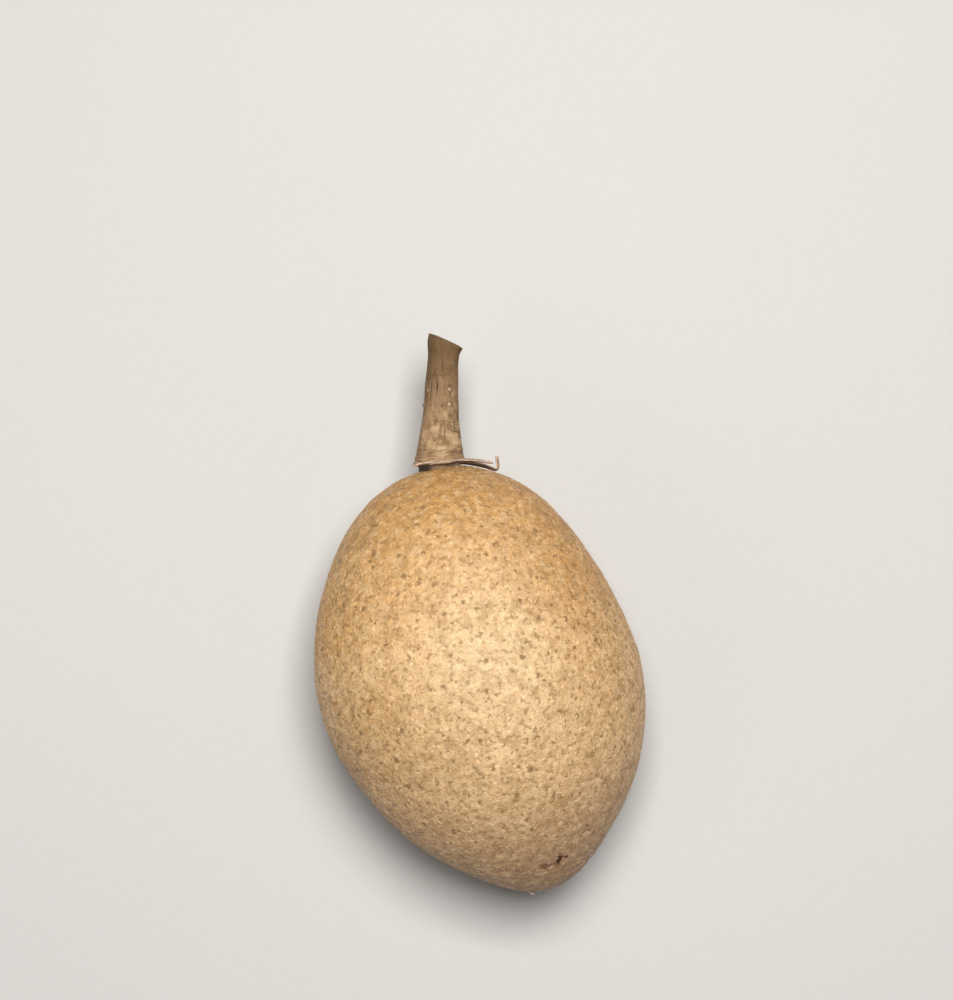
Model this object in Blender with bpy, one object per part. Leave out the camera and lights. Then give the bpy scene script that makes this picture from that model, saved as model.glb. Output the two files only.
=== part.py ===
"""A sapodilla as picked, lying on its side: the fruit, its dried calyx and its woody stalk.

The fruit's long axis runs along +Y, from the pointed tip to the crown where the stalk grows.
+X is the fuller flank and +Z is up. The origin is the middle of the small flat spot that
the fruit rests on. All sizes are in metres.
"""
import math

import bmesh
import bpy
from mathutils import Matrix, Vector

# Fruit: its radius is a short series in t, the angle from the crown at its middle
MEAN_RADIUS = 0.0327
CROWN_REACH = 0.0007        # times cos t: the crown lies a little further out than the tip
LENGTHENING = 0.0044        # times cos 2t: longer than it is wide
SHOULDERS = 0.0004          # times cos 3t: rounder shoulders at the crown's end
TAPER = 0.0007              # times cos 4t: both ends a little narrower
LEAN_AT_SHOULDER = -0.0006  # times sin 2t, on the +X flank: fuller towards the tip
LEAN_AT_WAIST = 0.00035     # times sin 3t, on the same flank
LEAN_AT_ENDS = 0.00015      # times sin 4t, on the same flank
FLATTENING = 0.0010         # the half depth is this much less than the half width
TIP_HEIGHT = 0.0032         # the blunt point that stands out of the lower end
TIP_SPREAD = math.radians(16.4)
TIP_LEAN = math.radians(4.3)
SPOT_DEPTH = 0.0007         # how far the rest spot cuts into the round
SPOT_SHIFT = 0.0010         # from the rest spot's middle to the fruit's middle, along +Y
FRUIT_ROUND = 56
FRUIT_RINGS = 38

# Nick: a small healed dent near the tip, on the upper side
NICK_TURN = math.radians(161.6)  # from the crown
NICK_ROLL = math.radians(61.0)   # from the +X flank towards +Z
NICK_RADIUS = 0.0014             # of the ball that presses it in
NICK_DEPTH = 0.0004

# Crown: where the calyx and the stalk grow, as a direction from the fruit's middle
CROWN_OFFSET = math.radians(4.0)   # towards +X
CALYX_TILT = math.radians(11.0)    # the calyx's own axis, from +Y towards +X
GAP = 0.0003

# Calyx: a thick little disc with six dried sepals
DISC_RADIUS = 0.0047
DISC_HEIGHT = 0.0008               # at its middle; more at the rim, where the crown falls away
DISC_ROUND = 36
SEPAL_THICKNESS = 0.0007
SEPAL_ROOT = 0.0022                # how near the axis a sepal begins, inside the disc
SEPAL_STEPS = 16
SEPAL_STRIPS = 6
# One row a sepal: angle from +X towards +Z, reach from the axis, half width,
# height of its root over the fruit, its rise, and the curl of its tip
SEPALS = (
    (math.radians(14), 0.0100, 0.0024, 0.00078, math.radians(1), math.radians(4)),
    (math.radians(-18), 0.0142, 0.0022, 0.00068, math.radians(0), math.radians(98)),
    (math.radians(74), 0.0066, 0.0027, 0.00068, math.radians(13), math.radians(10)),
    (math.radians(132), 0.0064, 0.0027, 0.00078, math.radians(10), math.radians(-15)),
    (math.radians(188), 0.0058, 0.0026, 0.00068, math.radians(0), math.radians(-12)),
    (math.radians(256), 0.0083, 0.0028, 0.00078, math.radians(6), math.radians(25)),
)
SEPAL_BEND = (0.70, 0.86)          # shares of its length between which the tip curls
SEPAL_TIP = 0.14                   # width of its tip, as a share of its greatest width

# Stalk: a woody rod that flares at its foot and swells where it left the twig
STALK_LENGTH = 0.0212
STALK_TILT = math.radians(17.5)    # from +Y towards +X
STALK_END_TILT = math.radians(25)  # where it bends, near the cut end
STALK_BEND_START = 0.0165
STALK_SETTLE = 0.004               # over which the foot turns from the calyx's tilt
STALK_RADIUS = 0.0025
STALK_FLARE = 0.0019
FLARE_LENGTH = 0.009
KNUCKLE = 0.0006                   # how much the end swells
KNUCKLE_LENGTH = 0.003
CUT_SLANT = math.radians(14)
BARK_LOBES = ((3, 0.022, 0.6), (5, 0.018, 2.1), (8, 0.010, 4.0))  # count, depth, phase
BARK_TWIST = 25.0                  # radians a metre
STALK_ROUND = 32
STALK_RINGS = 30

FRUIT_COLOUR = (0.60, 0.39, 0.20, 1.0)
CALYX_COLOUR = (0.27, 0.17, 0.10, 1.0)
STALK_COLOUR = (0.36, 0.24, 0.14, 1.0)


def clear_scene():
    """Remove whatever the scene already holds."""
    for item in list(bpy.data.objects):
        bpy.data.objects.remove(item, do_unlink=True)


def make_material(name, colour, roughness):
    """A plain Principled material."""
    material = bpy.data.materials.new(name)
    material.use_nodes = True
    shader = material.node_tree.nodes["Principled BSDF"]
    shader.inputs["Base Color"].default_value = colour
    shader.inputs["Roughness"].default_value = roughness
    shader.inputs["Metallic"].default_value = 0.0
    return material


def make_object(name, mesh_data, material):
    """Turn a bmesh into a named, smoothly shaded object."""
    bmesh.ops.recalc_face_normals(mesh_data, faces=mesh_data.faces)
    mesh = bpy.data.meshes.new(name)
    mesh_data.to_mesh(mesh)
    mesh_data.free()
    mesh.shade_smooth()
    mesh.set_sharp_from_angle(angle=math.radians(40))
    mesh.materials.append(material)
    item = bpy.data.objects.new(name, mesh)
    bpy.context.scene.collection.objects.link(item)
    return item


def smooth_step(value):
    """0 to 1 with level ends."""
    value = max(0.0, min(1.0, value))
    return value * value * (3 - 2 * value)


def fruit_radius(direction):
    """Distance from the fruit's middle to its skin along a unit direction."""
    turn = math.acos(max(-1.0, min(1.0, direction.y)))
    side = direction.x / max(math.sin(turn), 1e-6)
    radius = MEAN_RADIUS + CROWN_REACH * math.cos(turn) + LENGTHENING * math.cos(2 * turn)
    radius += SHOULDERS * math.cos(3 * turn) + TAPER * math.cos(4 * turn)
    lean = LEAN_AT_SHOULDER * math.sin(2 * turn) + LEAN_AT_WAIST * math.sin(3 * turn)
    lean += LEAN_AT_ENDS * math.sin(4 * turn)
    tip = Vector((math.sin(TIP_LEAN), -math.cos(TIP_LEAN), 0.0))
    point = TIP_HEIGHT * math.exp(-(direction.angle(tip) / TIP_SPREAD) ** 2)
    return radius + side * lean + point - FLATTENING * direction.z ** 2


def fruit_middle():
    """The point that the series is measured from, over the rest spot."""
    height = fruit_radius(Vector((0.0, 0.0, -1.0))) - SPOT_DEPTH
    return Vector((0.0, SPOT_SHIFT, height))


def skin_point(direction, lift=0.0):
    """The point of the skin along a direction, or one a little over it."""
    direction = direction.normalized()
    return fruit_middle() + direction * (fruit_radius(direction) + lift)


def direction_at(turn, roll):
    """Unit direction from two angles: turn from the crown, roll from +X towards +Z."""
    return Vector((
        math.sin(turn) * math.cos(roll),
        math.cos(turn),
        math.sin(turn) * math.sin(roll),
    ))


def tilted(angle):
    """The direction that leans from +Y towards +X by an angle."""
    return Vector((math.sin(angle), math.cos(angle), 0.0))


def skin_rings(mesh_data):
    """The fruit's closed skin, as rings round the long axis with a pole at each end."""
    crown = mesh_data.verts.new(skin_point(direction_at(0.0, 0.0)))
    rings = []
    for index in range(1, FRUIT_RINGS):
        turn = math.pi * index / FRUIT_RINGS
        ring = []
        for step in range(FRUIT_ROUND):
            roll = 2 * math.pi * step / FRUIT_ROUND
            ring.append(mesh_data.verts.new(skin_point(direction_at(turn, roll))))
        rings.append(ring)
    tip = mesh_data.verts.new(skin_point(direction_at(math.pi, 0.0)))
    join_rings(mesh_data, rings)
    close_fan(mesh_data, rings[0], crown)
    close_fan(mesh_data, rings[-1], tip)


def join_rings(mesh_data, rings):
    """Quads between each ring and the next."""
    for ring, after in zip(rings, rings[1:]):
        count = len(ring)
        for step in range(count):
            following = (step + 1) % count
            mesh_data.faces.new((ring[step], ring[following], after[following], after[step]))


def close_fan(mesh_data, ring, pole):
    """Triangles from a ring to one pole."""
    for step in range(len(ring)):
        mesh_data.faces.new((ring[step], ring[(step + 1) % len(ring)], pole))


def combine(target, other, operation):
    """Apply an exact Boolean to an object and remove the other one."""
    modifier = target.modifiers.new("combine", "BOOLEAN")
    modifier.operation = operation
    modifier.solver = "EXACT"
    modifier.object = other
    evaluated = target.evaluated_get(bpy.context.evaluated_depsgraph_get())
    mesh = bpy.data.meshes.new_from_object(evaluated)
    target.modifiers.clear()
    target.data = mesh
    bpy.data.objects.remove(other, do_unlink=True)


def build_fruit():
    """The fleshy berry: one solid, with its rest spot and its nick."""
    material = make_material("fruit_skin", FRUIT_COLOUR, 0.7)
    mesh_data = bmesh.new()
    skin_rings(mesh_data)
    everything = mesh_data.verts[:] + mesh_data.edges[:] + mesh_data.faces[:]
    cut = bmesh.ops.bisect_plane(
        mesh_data, geom=everything, plane_co=(0.0, 0.0, 0.0), plane_no=(0.0, 0.0, 1.0), clear_inner=True
    )
    rim = [item for item in cut["geom_cut"] if isinstance(item, bmesh.types.BMEdge)]
    bmesh.ops.contextual_create(mesh_data, geom=rim)
    fruit = make_object("fruit", mesh_data, material)

    direction = direction_at(NICK_TURN, NICK_ROLL)
    centre = skin_point(direction, NICK_RADIUS - NICK_DEPTH)
    ball = bmesh.new()
    bmesh.ops.create_uvsphere(
        ball, u_segments=16, v_segments=10, radius=NICK_RADIUS, matrix=Matrix.Translation(centre)
    )
    combine(fruit, make_object("nick_cutter", ball, material), "DIFFERENCE")


def calyx_frame():
    """The calyx's foot on the skin, its axis, and the direction across it."""
    foot = skin_point(tilted(CROWN_OFFSET))
    axis = tilted(CALYX_TILT)
    across = Vector((axis.y, -axis.x, 0.0))
    return foot, axis, across


def over_crown(distance, angle, sideways, height):
    """A point over the crown: out from the calyx's axis, across that, and above the skin."""
    foot, axis, across = calyx_frame()
    up = Vector((0.0, 0.0, 1.0))
    out = across * math.cos(angle) + up * math.sin(angle)
    beside = up * math.cos(angle) - across * math.sin(angle)
    point = foot + out * distance + beside * sideways
    return skin_point(point - fruit_middle(), height)


def calyx_top():
    """The middle of the disc's flat top."""
    foot, axis, across = calyx_frame()
    return foot + axis * (GAP + DISC_HEIGHT)


def build_disc(material):
    """The disc under the stalk: it follows the crown below and is flat on top."""
    mesh_data = bmesh.new()
    foot, axis, across = calyx_frame()
    up = Vector((0.0, 0.0, 1.0))
    under = mesh_data.verts.new(over_crown(0.0, 0.0, 0.0, GAP))
    over = mesh_data.verts.new(calyx_top())
    shares = (0.35, 0.7, 1.0)
    rings = []
    for share in shares:
        ring = []
        for step in range(DISC_ROUND):
            angle = 2 * math.pi * step / DISC_ROUND
            ring.append(mesh_data.verts.new(over_crown(DISC_RADIUS * share, angle, 0.0, GAP)))
        rings.append(ring)
    top = []
    for step in range(DISC_ROUND):
        angle = 2 * math.pi * step / DISC_ROUND
        out = across * math.cos(angle) + up * math.sin(angle)
        top.append(mesh_data.verts.new(calyx_top() + out * DISC_RADIUS))
    rings.append(top)
    join_rings(mesh_data, rings)
    close_fan(mesh_data, rings[0], under)
    close_fan(mesh_data, top, over)
    return make_object("calyx", mesh_data, material)


def sepal_spine(reach, rise, curl):
    """Distance from the axis, height and slope along one sepal, from root to tip."""
    step_length = (reach - SEPAL_ROOT) / SEPAL_STEPS
    bend_start, bend_end = SEPAL_BEND
    distance = SEPAL_ROOT
    height = 0.0
    spine = []
    for step in range(SEPAL_STEPS + 1):
        share = step / SEPAL_STEPS
        slope = rise + curl * smooth_step((share - bend_start) / (bend_end - bend_start))
        spine.append((distance, height, slope))
        distance += step_length * math.cos(slope)
        height += step_length * math.sin(slope)
    return spine


def sepal_width(share):
    """Width of a sepal along its length, as a share of its greatest width."""
    return max(SEPAL_TIP, math.sin(math.pi * (0.3 + 0.7 * share)) ** 0.85)


def build_sepal(material, angle, reach, half_width, root_height, rise, curl):
    """One ovate sepal: a blade of even thickness along its spine."""
    mesh_data = bmesh.new()
    faces = []
    for side in (-0.5, 0.5):
        sheet = []
        for step, (distance, height, slope) in enumerate(sepal_spine(reach, rise, curl)):
            width = half_width * sepal_width(step / SEPAL_STEPS)
            offset = side * SEPAL_THICKNESS
            row = []
            for strip in range(SEPAL_STRIPS + 1):
                share = 2 * strip / SEPAL_STRIPS - 1
                row.append(mesh_data.verts.new(over_crown(
                    distance - offset * math.sin(slope),
                    angle,
                    width * share,
                    root_height + height + offset * math.cos(slope),
                )))
            sheet.append(row)
        faces.append(sheet)
    under, over = faces
    for sheet in faces:
        for row, after in zip(sheet, sheet[1:]):
            for strip in range(SEPAL_STRIPS):
                mesh_data.faces.new((row[strip], row[strip + 1], after[strip + 1], after[strip]))
    close_edge(mesh_data, [row[0] for row in under], [row[0] for row in over])
    close_edge(mesh_data, [row[-1] for row in under], [row[-1] for row in over])
    close_edge(mesh_data, under[0], over[0])
    close_edge(mesh_data, under[-1], over[-1])
    return make_object("sepal", mesh_data, material)


def close_edge(mesh_data, lower, upper):
    """Quads between two rows of points that run side by side."""
    for step in range(len(lower) - 1):
        mesh_data.faces.new((lower[step], lower[step + 1], upper[step + 1], upper[step]))


def build_calyx():
    """The disc with its six sepals, joined into one body."""
    material = make_material("calyx_dry", CALYX_COLOUR, 0.8)
    calyx = build_disc(material)
    for sepal in SEPALS:
        combine(calyx, build_sepal(material, *sepal), "UNION")


def stalk_tilt(along):
    """The stalk's lean from +Y towards +X, a distance from its foot."""
    bend = smooth_step((along - STALK_BEND_START) / (STALK_LENGTH - STALK_BEND_START))
    return STALK_TILT + (STALK_END_TILT - STALK_TILT) * bend


def stalk_radius(along, angle):
    """The bark's radius a distance from the foot, at an angle round the stalk."""
    radius = STALK_RADIUS + STALK_FLARE * math.exp(-along / FLARE_LENGTH)
    radius += KNUCKLE * smooth_step((along - STALK_LENGTH + KNUCKLE_LENGTH) / KNUCKLE_LENGTH)
    ripple = 1.0
    for count, depth, phase in BARK_LOBES:
        ripple += depth * math.sin(count * angle + phase + BARK_TWIST * along * count)
    return radius * ripple


def build_stalk():
    """The woody stalk: a flaring tube along a slightly bent line, with a plain cut end."""
    material = make_material("stalk_bark", STALK_COLOUR, 0.85)
    mesh_data = bmesh.new()
    up = Vector((0.0, 0.0, 1.0))
    point = calyx_top() + tilted(CALYX_TILT) * GAP
    step_length = STALK_LENGTH / STALK_RINGS
    rings = []
    for index in range(STALK_RINGS + 1):
        along = step_length * index
        settle = smooth_step(along / STALK_SETTLE)
        tilt = CALYX_TILT + (stalk_tilt(along) - CALYX_TILT) * settle
        if index == STALK_RINGS:
            tilt += CUT_SLANT
        axis = tilted(tilt)
        across = Vector((axis.y, -axis.x, 0.0))
        ring = []
        for step in range(STALK_ROUND):
            angle = 2 * math.pi * step / STALK_ROUND
            out = across * math.cos(angle) + up * math.sin(angle)
            ring.append(mesh_data.verts.new(point + out * stalk_radius(along, angle)))
        rings.append(ring)
        point = point + tilted(stalk_tilt(along)) * step_length
    join_rings(mesh_data, rings)
    mesh_data.faces.new(rings[0])
    mesh_data.faces.new(rings[-1])
    make_object("stalk", mesh_data, material)


clear_scene()
build_fruit()
build_calyx()
build_stalk()
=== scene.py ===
"""A sapodilla as picked, lying on its side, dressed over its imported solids.

Everything is in metres, in the frame of the solids: +Y runs along the fruit from its tip
to its crown, +Z is up, and the origin is the middle of the spot that the fruit rests on.
"""

import math

import bpy
import numpy as np
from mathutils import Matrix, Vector, kdtree, noise


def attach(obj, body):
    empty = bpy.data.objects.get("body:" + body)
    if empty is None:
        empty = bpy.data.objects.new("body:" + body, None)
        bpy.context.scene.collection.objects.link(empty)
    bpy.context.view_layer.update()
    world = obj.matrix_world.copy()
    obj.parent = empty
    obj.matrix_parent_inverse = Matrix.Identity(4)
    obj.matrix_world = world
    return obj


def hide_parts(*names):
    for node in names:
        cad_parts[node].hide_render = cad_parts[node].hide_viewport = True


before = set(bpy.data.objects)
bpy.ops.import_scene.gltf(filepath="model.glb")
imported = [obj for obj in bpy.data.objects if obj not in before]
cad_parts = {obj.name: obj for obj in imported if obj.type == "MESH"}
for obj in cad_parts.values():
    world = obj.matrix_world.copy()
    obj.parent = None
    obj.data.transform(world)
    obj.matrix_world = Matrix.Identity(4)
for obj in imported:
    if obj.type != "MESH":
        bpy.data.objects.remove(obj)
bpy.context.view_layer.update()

MM = 0.001
UP = np.array([0.0, 0.0, 1.0])
BODY = "root"
SEED = 20
GOLDEN_ANGLE = math.pi * (3 - math.sqrt(5))

# Fruit form: the same series as the solid's, in t, the angle from the crown at its middle
MEAN_RADIUS = 0.0327
CROWN_REACH = 0.0007
LENGTHENING = 0.0044
SHOULDERS = 0.0004
TAPER = 0.0007
LEAN_AT_SHOULDER = -0.0006
LEAN_AT_WAIST = 0.00035
LEAN_AT_ENDS = 0.00015
FLATTENING = 0.0010  # the half depth is this much less than the half width
TIP_HEIGHT = 0.0032  # of the blunt point at the lower end
TIP_SPREAD = math.radians(16.4)
TIP_LEAN = math.radians(4.3)
SPOT_DEPTH = 0.0007  # how far the rest spot cuts into the round
SPOT_SHIFT = 0.0010  # from the rest spot to the fruit's middle, along +Y

# Skin: layers of relief from coarse to fine, as height, size and seed of the noise
SKIN_GRID = 128  # cells along each side of the six patches of skin
SKIN_SETTLE = 0.14 * MM  # how far the bare skin lies under the form
SKIN_RELIEF = (
    (0.20 * MM, 15 * MM, 1),
    (0.10 * MM, 4.5 * MM, 2),
    (0.07 * MM, 1.7 * MM, 4),
    (0.05 * MM, 0.8 * MM, 5),
)
SPECK_DEPTH = 0.09 * MM

# Specks of bare skin, large and small: how many, their radii in mm, their strengths, and
# the power that leaves few of them strong
SPECK_KINDS = (
    (2600, (0.22, 0.60), (0.3, 1.0), 1.5),
    (13000, (0.14, 0.34), (0.1, 0.7), 1.0),
)
SPECK_EDGE = (0.35, 1.30)  # shares of its radius between which a speck fades
SPECK_RAGGED = 0.22 * MM
RAGGED_SIZE = 0.8 * MM  # of the waves in the edges of the specks and the nick

# Nick near the tip: strokes as the camera sees them, in mm right of and above the fruit's
# middle, each with its half width in mm and its strength
NICK_STROKES = (
    ((14.1, -33.5), (14.5, -32.7), 0.31, 1.0),
    ((14.5, -32.7), (15.6, -32.4), 0.21, 0.62),
    ((11.0, -34.2), (13.6, -33.8), 0.42, 0.40),
)
NICK_EDGE = (0.5, 1.4)  # shares of the half width between which a stroke fades
NICK_RAGGED = 0.25 * MM
NICK_DEPTH = 0.40 * MM

# Scurf: each layer's name, flakes, their radii, how far they rise, and the layer's seed
SCURF_LAYERS = (
    ("scurf_coarse", 21000, (0.24 * MM, 0.52 * MM), (0.04 * MM, 0.085 * MM), 1),
    ("scurf_fine", 21000, (0.14 * MM, 0.30 * MM), (0.035 * MM, 0.075 * MM), 2),
)
SCURF_FLOOR = 0.35 * MM  # no flake grows lower than this
SCURF_UNDER_COLLAR = 0.5 * MM  # how far the scurf runs under the collar
SCURF_AT_NICK = 0.25  # no flake grows where the nick is stronger
SCURF_WORN = 0.75  # share of flakes missing in the strongest speck
FLAKE_SIDES = 5
FLAKE_STRETCH = (0.75, 1.35)
FLAKE_UNEVEN = (0.75, 1.20)  # a corner's reach, as a share of the flake's radius
FLAKE_TURN = 0.35  # how far a corner may turn, in radians
FLAKE_RIM = (-0.9, -0.3)  # a corner's height, as a share of the flake's
FLAKE_LEAN = 0.4  # how far the top may lie off the middle
FLAKE_ROOT = 0.8  # how deep the underside reaches, in radii
FLAKE_TONES = (2.2, 1.9)  # the two numbers that shape the draw of tones
FLAKE_DIM = 0.35  # how much darker flakes are in the strongest speck

# The dried style's stub on the tip: its outline as reach and height in mm
STYLE_LEAN = math.radians(-1.4)  # its place, from -Y towards +X
STYLE_PROFILE = (
    (0.75, -0.35), (0.85, -0.05), (0.68, 0.15), (0.50, 0.30), (0.36, 0.45),
    (0.28, 0.62), (0.18, 0.72),
)
STYLE_ENDS = (-0.40, 0.75)  # heights in mm of the points that close it
STYLE_ROUND = 28
STYLE_WAVE = 0.05 * MM
STYLE_WAVE_SIZE = 0.35 * MM

# Crown and calyx: in the solids' places, with the sepals thinner and trimmed
CROWN_OFFSET = math.radians(4.0)
CALYX_TILT = math.radians(11.0)
GAP = 0.3 * MM
DISC_RADIUS = 4.7 * MM
DISC_HEIGHT = 0.8 * MM
# The collar's outline: reach as a share of the disc's, level from skin to top
COLLAR_PROFILE = (
    (0.50, 1.02), (0.72, 1.05), (0.88, 1.03), (0.97, 0.92), (1.00, 0.78),
    (0.95, 0.62), (0.84, 0.48), (0.80, 0.25), (0.84, 0.0), (0.84, -0.3), (0.50, -0.3),
)
COLLAR_ROUND = 160
COLLAR_SUNK = 0.05 * MM
COLLAR_PROUD = 0.1 * MM
COLLAR_LUMPS = 0.11 * MM
COLLAR_SHADE_LEVELS = (0.30, 0.75)  # levels between which the painted shade in the recess under it fades

SEPAL_ROOT = 2.2 * MM
SEPAL_BEND = (0.70, 0.86)
SEPAL_TIP = 0.17
SEPAL_TWIST = 0.63  # a tip's twist, as a share of its curl
SEPAL_THICKNESS = 0.38 * MM
SEPAL_THINNING = 0.55  # share of the thickness lost at the margins
SEPAL_RAGGED = 0.06
SEPAL_CUPPING = 0.14 * MM
SEPAL_WAVE = 0.06 * MM
SEPAL_WRINKLE = 0.06 * MM
SEPAL_STEPS = 60
SEPAL_STRIPS = 32
VEIN_HEIGHT = 0.035 * MM
VEIN_WAVES = 5.5  # half waves from the midrib to the margin
# Each sepal's angle, rise and tip's curl in degrees, and its reach, half width and root's
# height in mm
SEPALS = (
    ((14, 3, 2), (10.0, 2.4, 0.86)),
    ((-18, 0, 98), (13.6, 2.2, 0.50)),
    ((74, 8, 10), (6.6, 2.7, 0.62)),
    ((132, 12, -8), (6.3, 2.5, 0.72)),
    ((188, 16, -4), (4.7, 2.4, 0.70)),
    ((256, 6, 25), (8.3, 2.8, 0.78)),
)

# Stalk: the solid's line and radius
STALK_LENGTH = 21.2 * MM
STALK_TILT = math.radians(17.5)
STALK_END_TILT = math.radians(25)
STALK_BEND_START = 16.5 * MM
STALK_SETTLE = 4 * MM
STALK_SUNK = 0.7 * MM  # how far the bark reaches down into the collar
STALK_RADIUS = 2.5 * MM
STALK_FLARE = 1.9 * MM
FLARE_LENGTH = 9 * MM
KNUCKLE = 0.6 * MM
KNUCKLE_LENGTH = 3 * MM
CUT_SLANT = math.radians(14)
CUT_REACH = 1.6 * MM  # over which the rings turn to the cut's slant
STALK_STEPS = 300
STALK_ROUND = 240
BARK_LOBES = ((3, 0.022, 0.6), (5, 0.018, 2.1), (8, 0.010, 4.0))
BARK_TWIST = 25.0

# Relief of the bark: its layers' heights, and the depths and heights of its marks
BARK_LUMPS = 0.15 * MM
BARK_PLATES = 0.07 * MM
BARK_GRAIN = 0.035 * MM
FOOT_RINGS = 0.05 * MM
FOOT_RING_STEP = 0.20 * MM
FOOT_RING_REACH = 4.5 * MM
SLIT_DEPTH = 0.18 * MM
WRINKLE_DEPTH = 0.13 * MM
LENTICEL_HEIGHT = 0.10 * MM
WART_HEIGHT = 0.35 * MM
MARK_EDGE = (0.3, 1.0)  # shares of its reach between which a mark fades

# Marks on the bark: how many, where along it and how crowded, half heights, half widths
SLITS = (240, (2.5 * MM, 22 * MM, 0.8), (0.4 * MM, 2.0 * MM), (0.06 * MM, 0.17 * MM))
WRINKLES = (90, (0.2 * MM, 15 * MM, 2.3), (0.07 * MM, 0.15 * MM), (0.8 * MM, 4.5 * MM))
LENTICELS = (40, (1.5 * MM, 19 * MM, 1.0), (0.18 * MM, 0.36 * MM), (0.14 * MM, 0.28 * MM))

# Marks seen in the photograph: place along the stalk, angle, half height, half width
LONG_CRACKS = (
    (12.0 * MM, math.radians(128), 2.2 * MM, 0.20 * MM),
    (12.8 * MM, math.radians(107), 2.3 * MM, 0.17 * MM),
    (15.2 * MM, math.radians(118), 1.6 * MM, 0.14 * MM),
)
PALE_LENTICELS = (
    (12.4 * MM, math.radians(60), 0.45 * MM, 0.38 * MM),
    (9.7 * MM, math.radians(61), 0.42 * MM, 0.40 * MM),
    (6.2 * MM, math.radians(48), 0.32 * MM, 0.28 * MM),
)
WART = (9.4 * MM, math.radians(172), 0.60 * MM, 0.60 * MM)

# The bark's lip round the cut: how far in and how far down each of its rings lies
LIP_WIDTH = 0.42 * MM
LIP_HEIGHT = 0.08 * MM
LIP_RINGS = ((0.12 * MM, 0.06 * MM), (LIP_WIDTH, 0.0), (0.55 * MM, 0.30 * MM))
LIP_FLOOR = 0.6 * MM

# The cut face inside the lip
CUT_RINGS = 44
CUT_ROUND = 180
GROWTH_WAVES = 5.2  # half waves of growth from the pith to the bark
GROWTH_HEIGHT = 0.02 * MM
FIBRE_HEIGHT = 0.03 * MM
RAY_HEIGHT = 0.025 * MM
PITH_DEPTH = 0.10 * MM
PITH_EDGE = (0.07, 0.16)  # shares of the radius between which the pith fades
CUT_BACK = 0.50 * MM

# Floor: a flat round that sweeps up into a wall
FLOOR_FLAT = 0.9  # radius of the flat part
FLOOR_SWEEP = 0.5  # radius of the curve that it rises in
FLOOR_WALL = 0.5  # height of what stands above the curve
FLOOR_DROP = 0.05 * MM  # how far it lies under the fruit
FLOOR_ROUND = 128
FLOOR_STEPS = 24

# The photograph's framing, as lengths in the picture's plane from the fruit's middle
PICTURE_ROLL = math.radians(15)  # the fruit leans this far to the left of upright
PICTURE_RIGHT = -0.7 * MM
PICTURE_UP = 32.0 * MM
CAMERA_DISTANCE = 0.50
CAMERA_LENS = 100.0
SENSOR = 36.0

# Each light's name, its place right of, above and over the fruit's middle as the picture
# has it, its side, its power and its colour
WARM_WHITE = (1.0, 0.97, 0.93)
LIGHTS = (
    ("key", 0.028, 0.165, 0.62, 0.22, 6.0, (1.0, 0.965, 0.91)),
    ("fill", -0.45, -0.25, 0.60, 0.50, 0.5, WARM_WHITE),
)
ROOM_LIGHT = 0.12

# Colours as linear light, first the skin's
# The skin's own tones from tip to crown, partly painted: painted shade darkens the tip and the
# crown, and the pale waist is partly a painted highlight
TIP_SHADED_BROWN = (0.29, 0.165, 0.095)
LOWER_TAN = (0.60, 0.395, 0.215)
WAIST_HIGHLIGHT_CREAM = (0.72, 0.515, 0.300)
CROWN_SHADED_GOLD = (0.52, 0.262, 0.062)
# Flank colours: a warmer mottle on the left, and painted shade that darkens both flanks
LOWER_LEFT_SHADED_TAN = (0.41, 0.220, 0.090)
UPPER_LEFT_SHADED_TAN = (0.58, 0.302, 0.082)
RIGHT_SHADED_TAN = (0.50, 0.242, 0.060)
SPOT_BROWN = (0.27, 0.150, 0.052)
BARE_BROWN = (0.18, 0.098, 0.034)
FLECK_CREAM = (0.80, 0.600, 0.360)
SCAR_BROWN = (0.055, 0.016, 0.005)
SKIN_SHEEN = (0.90, 0.80, 0.74)
SCURF_SHEEN = (0.92, 0.84, 0.80)

# The dried style and the calyx
# The dried style's colours, made paler with painted light that offsets the shade under the tip
STYLE_LIT_BROWN = (0.32, 0.235, 0.160)
STYLE_LIT_CREAM = (0.68, 0.585, 0.46)
SEPAL_BROWN = (0.215, 0.130, 0.064)
SEPAL_TAN = (0.40, 0.275, 0.155)
VEIN_TAN = (0.48, 0.35, 0.24)
MARGIN_PINK = (0.72, 0.55, 0.47)
SEPAL_GRAIN = (0.13, 0.075, 0.045)
# Painted shade: near-black brown low on the collar, in the recess where it meets the skin
RECESS_SHADE_BROWN = (0.022, 0.011, 0.006)
SEPAL_SHEEN = (0.85, 0.76, 0.72)

# The bark and the cut wood
BARK_BROWN = (0.185, 0.105, 0.042)
BARK_TAN = (0.520, 0.360, 0.205)
BARK_WARM = (0.37, 0.215, 0.130)
# Darker bark towards the cut: partly age, partly painted shade
BARK_AGED_AND_SHADED = (0.100, 0.055, 0.017)
# Dark in the bark's cracks: partly its own colour, partly painted shade in the creases
CRACK_AND_SHADE_BROWN = (0.060, 0.032, 0.016)
LENTICEL_CREAM = (0.58, 0.44, 0.31)
BARK_FLECK = (0.13, 0.080, 0.042)
WOOD_TAN = (0.40, 0.270, 0.140)
WOOD_CREAM = (0.58, 0.435, 0.260)
FIBRE_BROWN = (0.27, 0.165, 0.080)
PITH_BROWN = (0.13, 0.075, 0.040)

# The floor
PAPER_GREY = (0.515, 0.515, 0.515)
PAPER_PALE = (0.535, 0.535, 0.535)
WALL_WHITE = (0.88, 0.88, 0.88)

BUMP_STRENGTH = 0.8


def smooth_step(value, start, end):
    """0 up to a start and 1 from an end, with a smooth rise between."""
    share = np.clip((value - start) / (end - start), 0.0, 1.0)
    return share * share * (3 - 2 * share)


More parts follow.
